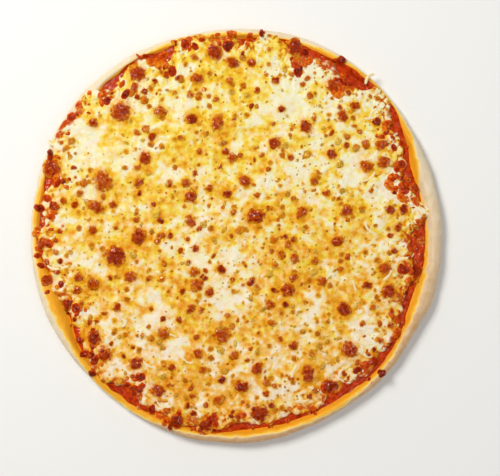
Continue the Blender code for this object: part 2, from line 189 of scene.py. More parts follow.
# Browning from its first gold to its darkest, as places on a ramp with hex colours: plain, olive, and
# stained with sauce
BROWNED_STOPS = (
    (0.0, "#F0BE34"), (0.2, "#E89A10"), (0.4, "#D87606"),
    (0.62, "#BE5002"), (0.82, "#A83200"), (1.0, "#781C00"),
)
OLIVE_STOPS = ((0.0, "#EBC24A"), (0.3, "#D29A28"), (0.6, "#B0741A"), (1.0, "#86500C"))
STAINED_STOPS = ((0.0, "#EC9418"), (0.25, "#DA5A04"), (0.55, "#B83200"), (1.0, "#741600"))

# The melted cheese from its whitest to its most golden, where its oil is orange and where it is lemon; the
# orange one is also laid towards the foot as painted shade
WARM_STOPS = (
    (0.1, "#F8E9D2"), (0.3, "#F8DFB6"), (0.48, "#F7CB7C"),
    (0.66, "#F2AF42"), (0.84, "#E8921E"), (1.0, "#D8780C"),
)
LEMON_STOPS = (
    (0.1, "#F5F0CE"), (0.3, "#F5EBB0"), (0.48, "#F7E074"),
    (0.66, "#F4CF40"), (0.84, "#ECB526"), (1.0, "#DF9A16"),
)

# The glow round a browned spot, and the freckles of two sizes from their edge to their middle
GLOW = "#F0A616"
FINE_FRECKLE_STOPS = ((0.0, "#F0CC4C"), (0.4, "#D9A62C"), (1.0, "#B47414"))
FRECKLE_STOPS = ((0.0, "#F2BE34"), (0.35, "#E0961A"), (1.0, "#B4600A"))

# The dough from its first trace of oil to the most, and pepper from its darkest flake to its palest
SOAKED_STOPS = ((0.05, "#EAD7B6"), (0.25, "#F7DC90"), (0.5, "#F9C846"), (0.9, "#F5AA22"))
PEPPER_STOPS = ((0.4, "#2E2412"), (0.6, "#5C5A26"))


def linear(colour):
    """An sRGB hex colour as linear red, green, blue and alpha."""
    parts = np.array([int(colour[i:i + 2], 16) / 255 for i in (1, 3, 5)])
    parts = np.where(parts <= 0.04045, parts / 12.92, ((parts + 0.055) / 1.055) ** 2.4)
    return (*parts.tolist(), 1.0)


def size_property(name, description, default):
    """A length in millimetres as a property."""
    return FloatProperty(name=name, description=description, default=default * MM, unit="LENGTH", precision=5)


def colour_property(name, description, default):
    """An sRGB hex colour as a property."""
    return FloatVectorProperty(
        name=name, description=description, default=linear(default), size=4, min=0, max=1, subtype="COLOR"
    )


class CrustSettings(bpy.types.PropertyGroup):
    """What a user would change on the crust."""

    swell: size_property("Swell", "How far the dough's soft bumps stand out", 0.35)
    oil_spread: size_property("Oil spread", "How much further the oil has spread than its mean reach", -0.6)
    flour: colour_property("Flour", "The pale floury outside", "#EDE0C8")
    dough: colour_property("Dough", "The dough just outside the oil", "#E6D0A4")
    # partly the colour of dough that baked more, partly painted shade of the rim's lower right side
    baked_and_shaded: colour_property("Baked", "The more baked dough of one side", "#D09A5E")
    toasted: colour_property("Toasted", "The browned patches of the underside", "#B9803F")


class SauceSettings(bpy.types.PropertyGroup):
    """What a user would change on the sauce."""

    run_up: size_property("Run-up", "How far the film of sauce runs up the rim", 1.5)
    lumps: size_property("Lumps", "Height of the pulp in the sauce", 0.35)
    bright: colour_property("Bright", "The wet red of the sauce", "#D04008")
    oily: colour_property("Oily", "The film of oil at the sauce's edge", "#F09420")
    deep: colour_property("Deep", "The sauce where it has cooked down", "#8A1A00")


class CheeseSettings(bpy.types.PropertyGroup):
    """What a user would change on the melted cheese."""

    undulation: size_property("Undulation", "Height of the broad waves", 0.7)
    roughness: size_property("Roughness", "Height of the small bumps", 0.22)
    lumps: size_property("Lumps", "Height of the lumps where the cheese stayed curdled", 0.7)
    strand_height: size_property("Strand height", "How far half-melted shreds stand out", 0.4)
    strands: IntProperty(name="Strands", description="How many half-melted shreds", default=420, min=0)
    cream: colour_property("Cream", "The palest cheese", "#F8EDCF")
    yellow: colour_property("Yellow", "The melted yellow cheese", "#F0D284")
    stained: colour_property("Stained", "Thin cheese over the sauce", "#C84E14")


class BlisterSettings(bpy.types.PropertyGroup):
    """What a user would change on the browned spots."""

    medium: IntProperty(name="Medium", description="How many medium blisters", default=380, min=0)
    small: IntProperty(name="Small", description="How many small spots", default=220, min=0)
    rise: FloatProperty(name="Rise", description="A blister's height as a share of its width", default=0.12)
    wrinkle: size_property("Wrinkle", "Depth of the wrinkles on the large blisters", 0.75)
    seed: IntProperty(name="Seed", description="Changes where the spots fall", default=11, min=0)


class StageSettings(bpy.types.PropertyGroup):
    """What a user would change on the stage."""

    floor: colour_property("Floor", "The floor's colour", "#F4F4F2")
    camera_height: FloatProperty(
        name="Camera height", description="The camera's height over the pizza", default=1.0, unit="LENGTH"
    )


def node_points(name):
    """The vertices of a node of the fixed frame, as an array of points."""
    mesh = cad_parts[name].data
    points = np.empty(len(mesh.vertices) * 3)
    mesh.vertices.foreach_get("co", points)
    return points.reshape(-1, 3)


def step_up(low, high, value):
    """0 below low, 1 above high, and an S-shaped rise between them."""
    share = np.clip((value - low) / (high - low), 0, 1)
    return share * share * (3 - 2 * share)


def smooth_ring(values):
    """Values at even spokes, filled in to TURNS values by their own sine waves."""
    return np.fft.irfft(np.fft.rfft(values), TURNS) * TURNS / len(values)


def turn_between(angle, centre):
    """How far angles are from a centre, from -180 to 180 degrees."""
    return (angle - centre + 180) % 360 - 180


def sum_of_bumps(bumps):
    """At TURNS angles, the sum of flat-topped bumps given as centre and half-width in degrees and height in
    millimetres: each is its height times e to minus the fourth power of the distance in half-widths."""
    return sum(
        high * MM * np.exp(-((turn_between(DEGREES, centre) / half) ** 4)) for centre, half, high in bumps
    )


def read_rim():
    """The crust's edge and foot radius, its crest's height and the sauce's reach at TURNS angles, read off
    the solid crust. On each spoke they are the largest radius, the largest radius on the floor, the largest
    height, and the foot again. Where the rim is narrow and the topping all but hides it, the crest is lower
    and the foot further in, for a gentler slope. Where oily dough shows, both are further in still."""
    points = node_points("crust")
    radius = np.hypot(points[:, 0], points[:, 1])
    spoke = np.rint(np.arctan2(points[:, 1], points[:, 0]) / math.tau * RIM_SPOKES).astype(int) % RIM_SPOKES
    edge, foot, crest = np.zeros((3, RIM_SPOKES))
    np.maximum.at(edge, spoke, radius)
    np.maximum.at(crest, spoke, points[:, 2])
    floor = (np.abs(points[:, 2] - BASE_HEIGHT) < 0.1 * MM) & (radius < edge[spoke] - 2 * MM)
    np.maximum.at(foot, spoke[floor], radius[floor])
    edge, foot, crest = smooth_ring(edge), smooth_ring(foot), smooth_ring(crest)
    fullness = step_up(3 * MM, 11 * MM, edge - foot)
    crest = BASE_HEIGHT + (0.36 + 0.64 * fullness) * (crest - BASE_HEIGHT)
    reach = foot - sum_of_bumps(SAUCE_GAPS)
    return edge, reach - 3.5 * MM * (1 - fullness), crest, reach


def read_cheese_edge():
    """The solid cheese's radius at TURNS angles, from the outline of its flat underside."""
    points = node_points("cheese")
    outline = points[points[:, 2] < CHEESE_UNDERSIDE + 0.05 * MM]
    angle = np.degrees(np.arctan2(outline[:, 1], outline[:, 0]))
    radius = np.hypot(outline[:, 0], outline[:, 1])
    return np.interp(DEGREES, angle, radius, period=360)


EDGE, FOOT, CREST, SAUCE_REACH = read_rim()
CHEESE_EDGE = read_cheese_edge()


def at_angle(ring, angle):
    """A ring's value at angles in degrees."""
    return np.interp(angle, DEGREES, ring, period=360)


def polar(x, y):
    """Points' angle in degrees and radius."""
    return np.degrees(np.arctan2(y, x)), np.hypot(x, y)


def planar(radius, angle=RADIANS):
    """Points' x and y from their radius and their angle in radians."""
    return radius * np.cos(angle), radius * np.sin(angle)


def soft_noise(x, y, size, seed):
    """Noise from -1 to 1: random numbers on a square lattice of the given size, joined by S-shaped steps.
    The lattice is turned by the seed, so that layers of it never line up."""
    cells = 256
    values = np.random.default_rng(seed).uniform(-1, 1, (cells, cells))
    across = (x * math.cos(seed) + y * math.sin(seed)) / size
    along = (y * math.cos(seed) - x * math.sin(seed)) / size
    column, row = np.floor(across).astype(int), np.floor(along).astype(int)
    right, up = step_up(0, 1, across - column), step_up(0, 1, along - row)
    column, row = column % cells, row % cells
    next_column, next_row = (column + 1) % cells, (row + 1) % cells
    low = values[column, row] * (1 - right) + values[next_column, row] * right
    high = values[column, next_row] * (1 - right) + values[next_column, next_row] * right
    return low * (1 - up) + high * up


def layered_noise(x, y, size, seed, layers=3):
    """Noise from about -1 to 1: layers of soft noise, each half the size and strength of the last."""
    total = sum(0.5**i * soft_noise(x, y, size * 0.5**i, seed + i) for i in range(layers))
    return total / sum(0.5**i for i in range(layers))


def crust_top(x, y):
    """Height of the bare dough: flat to the rim's foot, an S-shaped slope to the crest, a quarter round."""
    angle, radius = polar(x, y)
    foot, edge = at_angle(FOOT, angle), at_angle(EDGE, angle)
    share = np.clip((radius - foot) / (edge - foot), 0, 1)
    out = np.clip((share - CREST_SHARE) / (1 - CREST_SHARE), 0, 1)
    rise = np.where(share < CREST_SHARE, step_up(0, CREST_SHARE, share), np.sqrt(1 - out * out))
    return BASE_HEIGHT + (at_angle(CREST, angle) - BASE_HEIGHT) * rise


@functools.cache
def cheese_outline():
    """The cheese's ragged radius at TURNS angles: the solid's own, plus the drapes over the rim, plus lobes
    of two sizes, and never past the edge of the dough."""
    x, y = planar(CHEESE_EDGE)
    lobes = 2.4 * MM * soft_noise(x, y, 7 * MM, 5) + 1.6 * MM * soft_noise(x, y, 3 * MM, 6)
    return np.minimum(CHEESE_EDGE + 0.8 * MM + sum_of_bumps(CHEESE_DRAPES) + lobes, EDGE - 1.6 * MM)


def cheese_radius(angle):
    """The cheese's ragged radius at angles in degrees."""
    return at_angle(cheese_outline(), angle)


def patches(x, y, spots, sharpness=2):
    """The strongest bell curve over points of a list of spots given in millimetres, bent by soft noise."""
    x, y = x + 5 * MM * soft_noise(x, y, 9 * MM, 91), y + 5 * MM * soft_noise(x, y, 9 * MM, 92)
    strongest = np.zeros_like(x)
    for spot_x, spot_y, reach in spots:
        distance = np.hypot(x - spot_x * MM, y - spot_y * MM) / (reach * MM)
        strongest = np.maximum(strongest, np.exp(-(distance**sharpness)))
    return strongest


@functools.cache
def strands(count):
    """The half-melted shreds: place, heading, length, width and bend, random, and fewer in the pale pools."""
    draw = random.Random(3)
    made = []
    while len(made) < count:
        radius, angle = 142 * MM * math.sqrt(draw.random()), draw.uniform(0, math.tau)
        x, y = radius * math.cos(angle), radius * math.sin(angle)
        if draw.random() > paleness(x, y):
            length, width = draw.uniform(8, 22) * MM, draw.uniform(1.5, 2.6) * MM
            made.append((x, y, draw.uniform(0, math.pi), length, width, draw.uniform(-0.5, 0.5)))
    return made


def paleness(x, y, sharpness=2):
    """From 0 to 1, how deep a point is in the pale pools."""
    return float(patches(np.array([x]), np.array([y]), ALL_POOLS, sharpness)[0])


def near_spot(x, y, spot, reach, heading=0):
    """Which points are within reach of a spot, and how far along and across its heading they lie."""
    near = (np.abs(x - spot[0]) < reach) & (np.abs(y - spot[1]) < reach)
    east, north = x[near] - spot[0], y[near] - spot[1]
    along = east * math.cos(heading) + north * math.sin(heading)
    return near, along, north * math.cos(heading) - east * math.sin(heading)


def strand_field(x, y, count):
    """From 0 to 1, how far points are inside a half-melted shred: a bell curve across each bent line,
    which fades out towards its ends."""
    field = np.zeros(np.shape(x))
    for *centre, heading, length, width, bend in strands(count):
        near, along, across = near_spot(x, y, centre, 0.5 * length + width, heading)
        across = across - bend * along**2 / length
        taper = step_up(0, 0.3, 1 - np.abs(along) / (0.5 * length))
        field[near] = np.maximum(field[near], np.exp(-((across / (0.5 * width)) ** 2)) * taper)
    return field


def goldness(x, y):
    """From 0 to 1, how golden the cheese is: broad noise on bent coordinates, more in the golden patches and
    less in the pools, pushed by an S-shaped step towards white stretches and yellow ones."""
    east = x + 3.5 * MM * soft_noise(x, y, 7 * MM, 93)
    north = y + 3.5 * MM * soft_noise(x, y, 7 * MM, 94)
    broad = layered_noise(east, north, 11 * MM, 21) + 0.5 * patches(x, y, GOLDEN_PATCHES)
    return 0.19 + 0.48 * step_up(-0.48, 0.58, broad - 0.6 * patches(x, y, ALL_POOLS, 3))


def far_from(x, y, width, taken, spacing):
    """Whether a round spot stays clear of all those taken."""
    return all(math.hypot(x - a, y - b) > 0.5 * (width + c) + spacing for a, b, c, *_ in taken)


@functools.cache
def solid_blisters(seed):
    """The blisters of the solid cheese: the large ones, then medium ones by the solid's own seeded rule."""
    draw = random.Random(seed)
    taken = [(x * MM, y * MM, width * MM) for x, y, width in LARGE_BLISTERS]
    wanted = len(taken) + SOLID_MEDIUM_BLISTERS
    while len(taken) < wanted:
        radius = 136 * MM * math.sqrt(draw.random())
        angle = math.radians(draw.uniform(0, 360))
        x, y, width = radius * math.cos(angle), radius * math.sin(angle), draw.uniform(4.6 * MM, 7 * MM)
        dry = all(math.hypot(x - a * MM, y - b * MM) > reach * MM for a, b, reach in PALE_POOLS)
        if dry and far_from(x, y, width, taken, 2 * MM):
            taken.append((x, y, width))
    return taken


@functools.cache
def blister_places(medium, small, seed):
    """All the browned spots as rows of x, y, width, browning, heading and squeeze, in three lists: the large
    ones, the medium ones and the small ones. Random ones keep apart, and are fewer in the pale pools."""
    draw = random.Random(seed + 1)

    def row(x, y, width, palest, darkest):
        return x, y, width, draw.uniform(palest, darkest), draw.uniform(0, math.pi), draw.uniform(0.68, 1)

    fixed = solid_blisters(seed)
    count = len(LARGE_BLISTERS)
    large = [row(x, y, 1.15 * width, 0.64, 0.9) for x, y, width in fixed[:count]]
    middling = [row(x, y, width, 0.35, 0.7) for x, y, width in fixed[count:]]
    middling += [row(x * MM, y * MM, 1.15 * width * MM, 0.55, 0.9) for x, y, width in MEDIUM_BLISTERS]
    little = []
    for spots, wanted, narrow, wide, spacing in (
        (middling, medium, 2.6, 7.0, -1.0),
        (little, small, 1.3, 3.0, 0.1),
    ):
        while len(spots) < wanted:
            radius, angle = 146 * MM * math.sqrt(draw.random()), draw.uniform(0, math.tau)
            x, y = radius * math.cos(angle), radius * math.sin(angle)
            width = (narrow + (wide - narrow) * draw.random() ** 1.8) * MM
            inside = radius < float(cheese_radius(math.degrees(angle))) - 0.5 * width
            apart = far_from(x, y, width, large + middling + little, spacing * MM)
            if inside and apart and draw.random() > 0.85 * paleness(x, y, 4):
                spots.append(row(x, y, width, 0.12, 0.62))
    return [np.array(rows) for rows in (large, middling, little)]


def all_places(sizes=3):
    """The rows of the browned spots of the first sizes in one array."""
    look = bpy.context.scene.pizza_blisters
    return np.concatenate(blister_places(look.medium, look.small, look.seed)[:sizes])


def nearest_spot(x, y, places):
    """How deep points are in the browned spots, from 1 in the middle to 0 at the edge and -1 well outside,
    and how brown that spot is. A spot is an ellipse with its own heading and squeeze, bent by soft noise."""
    x, y = x + 0.8 * MM * soft_noise(x, y, 2.6 * MM, 95), y + 0.8 * MM * soft_noise(x, y, 2.6 * MM, 96)
    depth, tone = np.full(np.shape(x), -1.0), np.zeros(np.shape(x))
    for *spot, width, browning, heading, squeeze in places:
        near, along, across = near_spot(x, y, spot, width, heading)
        here = 1 - np.hypot(along, across / squeeze) / (0.5 * width)
        tone[near] = np.where(here > depth[near], browning, tone[near])
        depth[near] = np.maximum(here, depth[near])
    return depth, tone


def halo_field(x, y, places, reach):
    """From 0 to 1, how close points are to a browned spot: a bell curve reach times as wide as the spot."""
    field = np.zeros(np.shape(x))
    for *spot, width, browning, _, _ in places:
        near, east, north = near_spot(x, y, spot, 1.5 * reach * width)
        distance = np.hypot(east, north) / (0.5 * reach * width)
        field[near] = np.maximum(field[near], (0.4 + 0.6 * browning) * np.exp(-(distance**2)))
    return field


def creases(x, y):
    """From 0 to 1, how near points are to a crease between lumps, where soft noise changes its sign."""
    lumps = soft_noise(x, y, 4.6 * MM, 45) + 0.4 * soft_noise(x, y, 2.2 * MM, 46)
    return 1 - step_up(0, 0.45, np.abs(lumps))


def curdling(x, y):
    """From 0 to 1, how lumpy the cheese stayed: most near its edge and on the right side, by broad noise."""
    angle, radius = polar(x, y)
    edge = step_up(34 * MM, 6 * MM, cheese_radius(angle) - radius)
    side = 0.25 * np.cos(np.radians(angle + 10)) * step_up(60 * MM, 120 * MM, radius)
    return np.clip(0.25 + 0.65 * edge + side + 0.3 * layered_noise(x, y, 24 * MM, 47, 2), 0, 1)


def cheese_fields(x, y):
    """What the cheese's material reads at points: how golden it is, how thin over the sauce, how freckled,
    how deep in a browned spot, how brown that is, and how stained with sauce near the rim."""
    angle, radius = polar(x, y)
    inward = cheese_radius(angle) - radius
    crease = creases(x, y) * curdling(x, y)
    settings = bpy.context.scene.pizza_cheese
    depth, tone = nearest_spot(x, y, all_places())
    gold = goldness(x, y) - 0.2 * strand_field(x, y, settings.strands)
    gold = gold + 0.28 * halo_field(x, y, all_places(2), 1.6) + 0.3 * crease - 0.22 * curdling(x, y)
    gold = gold + 0.12 * step_up(12 * MM, 0, inward)
    thin = step_up(15 * MM, 0, inward) * (0.58 + 0.8 * layered_noise(x, y, 7 * MM, 44)) + 0.5 * crease**2
    spotting = 1.1 - 0.9 * patches(x, y, ALL_POOLS, 4) - 0.2 * step_up(9 * MM, 0, inward)
    stain = step_up(26 * MM, 4 * MM, inward)
    return {"gold": gold, "thin": thin, "spotting": spotting, "depth": depth, "tone": tone, "stain": stain}


def cheese_height(x, y):
    """Height of the melted sheet: level, with broad waves, small bumps, lumps between creases, half-melted
    shreds and a swell under each browned spot. Near its edge it rounds down to what it lies on, and over the
    rim it follows the dough."""
    settings = bpy.context.scene.pizza_cheese
    angle, radius = polar(x, y)
    inward = cheese_radius(angle) - radius
    rounding = 1 - np.clip(inward / (3.0 * MM), 0, 1)
    lip = np.sqrt(np.clip(1 - rounding**2, 0, 1))
    waves = settings.undulation * layered_noise(x, y, 17 * MM, 31, 2)
    waves = waves + 0.45 * MM * soft_noise(x, y, 8 * MM, 33)
    bumps = settings.roughness * layered_noise(x, y, 3.2 * MM, 41)
    bumps = bumps + settings.lumps * curdling(x, y) * (0.4 - creases(x, y))
    ridges = settings.strand_height * strand_field(x, y, settings.strands)
    swells = 0.45 * MM * halo_field(x, y, all_places(2), 1.5)
    thick = (CHEESE_THICKNESS + waves + bumps + ridges + swells) * lip
    film = (1.1 * MM + bumps + 0.6 * ridges + swells) * lip
    return np.maximum(CHEESE_UNDERSIDE + thick, crust_top(x, y) + 0.1 * MM + film)


def sauce_outline():
    """The sauce's ragged radius at TURNS angles: its reach, plus noise, plus where it has run up the rim."""
    noise = layered_noise(*planar(SAUCE_REACH), 6 * MM, 52)
    ragged = bpy.context.scene.pizza_sauce.run_up * (0.45 + 0.55 * noise)
    return np.minimum(SAUCE_REACH + ragged + sum_of_bumps(SAUCE_RUNS), EDGE - 1.8 * MM)


def sauce_height(x, y):
    """Height of the sauce: level with lumps of pulp, and a thin film where it runs up the rim."""
    lumps = bpy.context.scene.pizza_sauce.lumps * layered_noise(x, y, 2.6 * MM, 51)
    return np.maximum(SAUCE_TOP + 0.2 * MM + lumps, crust_top(x, y) + 0.35 * MM + 0.5 * lumps)


def bare_height(x, y):
    """Height of what the cheese lies on: the sauce within its outline, and the dough outside it."""
    angle, radius = polar(x, y)
    return np.where(radius < at_angle(sauce_outline(), angle), sauce_height(x, y), crust_top(x, y))


def topping_height(x, y):
    """Height of whatever lies uppermost: cheese inside its outline, and sauce or dough outside it."""
    angle, radius = polar(x, y)
    return np.where(radius < cheese_radius(angle), cheese_height(x, y), bare_height(x, y))


def finish_piece(name, values, faces, material, nodes=(), fields=()):
    """Puts values and faces into a smooth mesh object, gives it its material, and ties it to the frame. A
    row of values is a point's x, y and z, and then its fields, which become point attributes."""
    mesh = bpy.data.meshes.new(name)
    mesh.from_pydata(values[:, :3], [], faces)
    for field, column in zip(fields, values[:, 3:].T):
        attribute = mesh.attributes.new(field, "FLOAT", "POINT")
        attribute.data.foreach_set("value", column.astype(np.float32))
    mesh.materials.append(material)
    mesh.shade_smooth()
    piece = bpy.data.objects.new(name, mesh)
    bpy.context.scene.collection.objects.link(piece)
    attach(piece, "root")
    if nodes:
        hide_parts(*nodes)


def closed_shapes(grid):
    """Closes an array of shapes, each a grid of rings and turns of values that start with x, y and z: the
    turns join round, and each end ring is closed by a fan to its own mean. Gives the values and faces."""
    shapes, rings, turns, width = grid.shape
    ends = np.stack((grid[:, 0].mean(1), grid[:, -1].mean(1)), 1)
    values = np.concatenate((grid.reshape(shapes, rings * turns, width), ends), 1)
    ring, turn = np.meshgrid(np.arange(rings - 1), np.arange(turns), indexing="ij")
    here, after = ring * turns + turn, ring * turns + (turn + 1) % turns
    quads = np.stack((here, here + turns, after + turns, after), -1).reshape(-1, 4)
    around = np.arange(turns)
    onward = (around + 1) % turns
    first = np.stack((np.full(turns, rings * turns), around, onward), -1)
    last = np.stack((np.full(turns, rings * turns + 1), onward, around), -1)
    last[:, 1:] += (rings - 1) * turns
    starts = np.arange(shapes)[:, None, None] * (rings * turns + 2)
    quads = (quads[None] + starts).reshape(-1, 4)
    fans = (np.concatenate((first, last))[None] + starts).reshape(-1, 3)
    return values.reshape(-1, width), quads.tolist() + fans.tolist()


def feed(tree, node, inputs):
    """Sets a node's inputs, or links them to the sockets that feed them."""
    for key, value in inputs.items():
        if isinstance(value, bpy.types.NodeSocket):
            tree.links.new(value, node.inputs[key])
        else:
            node.inputs[key].default_value = value


def add_node(tree, kind, inputs, out=0, stops=(), **settings):
    """Adds a node and gives one of its outputs: inputs are values or the sockets that feed it, stops are a
    ramp's places and hex colours, and settings are the node's own."""
    node = tree.nodes.new("ShaderNode" + kind)
    for name, value in settings.items():
        setattr(node, name, value)
    feed(tree, node, inputs)
    if stops:
        ramp = node.color_ramp.elements
        ramp[0].position, ramp[1].position = stops[0][0], stops[-1][0]
        for place, _ in stops[1:-1]:
            ramp.new(place)
        for element, (_, colour) in zip(ramp, stops):
            element.color = linear(colour)
    return node.outputs[out]


def new_material(name):
    """An empty material with its node tree, its shader and the Object coordinates that its patterns read."""
    material = bpy.data.materials.new(name)
    material.use_nodes = True
    tree = material.node_tree
    return material, tree, tree.nodes["Principled BSDF"], add_node(tree, "TexCoord", {}, out="Object")


def at_size(place, size, **more):
    """The inputs of a pattern of the given size in millimetres, read at a place."""
    return {"Vector": place, "Scale": 1 / (size * MM), **more}


def shifted(tree, factor, by, amount):
    """A factor moved up and down by a noise: factor plus amount times (noise minus one half)."""
    centred = add_node(tree, "Math", {0: by, 1: 0.5}, operation="SUBTRACT")
    return add_node(tree, "Math", {0: centred, 1: amount, 2: factor}, operation="MULTIPLY_ADD")


def layered(tree, colour, *covers):
    """A colour with others laid over it in turn, each as far as its factor says."""
    for factor, cover in covers:
        colour = add_node(tree, "Mix", {0: factor, 6: colour, 7: cover}, out=2, data_type="RGBA")
    return colour


def oily_gloss(tree, place, wetness, ripple, depth, roughness):
    """The shader's inputs for a film of oil: thin in general and thick in droplets about a millimetre across,
    times how wet the surface is, with ripples of a size and depth in millimetres. It glints in points."""
    drops = add_node(tree, "TexNoise", at_size(place, 2, Detail=1))
    drops = add_node(tree, "MapRange", {0: drops, 1: 0.5, 2: 0.56, 3: 0.03})
    ripples = add_node(tree, "TexNoise", at_size(place, ripple, Detail=1))
    return {
        "Specular IOR Level": 0.03,
        "Coat Weight": add_node(tree, "Math", {0: drops, 1: wetness}, operation="MULTIPLY", use_clamp=True),
        "Coat Normal": add_node(tree, "Bump", {"Height": ripples, "Distance": depth * MM}),
        "Coat Roughness": roughness,
    }


def baked_dough(settings):
    """Thin wheat dough, baked: dry, chalky and pale where flour stayed on it, a glossy yellow band where the
    topping's oil soaked in, and toasted freckles underneath. The eye reads it as soft, dusty bread."""
    material, tree, shader, place = new_material("baked_dough")
    oil, under, baked_and_shaded = (
        shifted(
            tree, add_node(tree, "Attribute", {}, out="Fac", attribute_name=field),
            add_node(tree, "TexNoise", at_size(place, size, Detail=detail, Roughness=roughness)), amount,
        )
        for field, size, detail, roughness, amount in (
            ("oil", 3.5, 3, 0.5, 0.5), ("under", 14, 4, 0.65, 1.5), ("baked_and_shaded", 5, 3, 0.5, 0.7),
        )
    )
    cloudy = add_node(tree, "TexNoise", at_size(place, 9))
    soaked = add_node(tree, "ValToRGB", {0: oil}, stops=SOAKED_STOPS)
    stained = add_node(tree, "Math", {0: oil, 1: 3.0}, operation="MULTIPLY")
    toasted = add_node(tree, "MapRange", {0: under, 1: 0.45, 2: 1.35})
    fine = add_node(tree, "TexNoise", at_size(place, 1.2, Detail=4))
    relief = shifted(tree, fine, add_node(tree, "TexNoise", at_size(place, 0.4)), 0.5)
    # the tan cover of the rim's lower right side is partly baking and partly painted shade
    feed(tree, shader, {
        "Base Color": layered(
            tree, settings.dough, (cloudy, settings.flour), (baked_and_shaded, settings.baked_and_shaded), (stained, soaked),
            (toasted, settings.toasted),
        ),
        "Roughness": add_node(tree, "MapRange", {0: oil, 1: 0.1, 2: 0.8, 3: 0.78, 4: 0.38}),
        "Normal": add_node(tree, "Bump", {"Height": relief, "Distance": 0.25 * MM}),
        "Specular IOR Level": 0.25,
        "Subsurface Weight": 0.12, "Subsurface Radius": (1.0, 0.6, 0.35), "Subsurface Scale": 1.5 * MM,
    })
    return material


def cooked_sauce(settings):
    """Cooked tomato sauce: wet, pulpy red that has dried darker in the hollows, so it glints in points, with
    an orange film of oil at its edge."""
    material, tree, shader, place = new_material("cooked_tomato_sauce")
    pulp = add_node(tree, "TexNoise", at_size(place, 2.2, Detail=4, Roughness=0.6))
    darkness = shifted(tree, add_node(tree, "TexNoise", at_size(place, 6, Detail=3)), pulp, 1.4)
    cooked = add_node(tree, "MapRange", {0: darkness, 1: 0.3, 2: 0.8})
    oil = shifted(tree, add_node(tree, "Attribute", {}, out="Fac", attribute_name="oil"), pulp, 0.5)
    oil = add_node(tree, "MapRange", {0: oil, 1: 0.3, 2: 0.9})
    feed(tree, shader, {
        "Base Color": layered(tree, settings.bright, (cooked, settings.deep), (oil, settings.oily)),
        "Roughness": 0.35, "Normal": add_node(tree, "Bump", {"Height": pulp, "Distance": 0.6 * MM}),
    } | oily_gloss(tree, place, 1.0, 2.2, 1.0, 0.12))
    return material


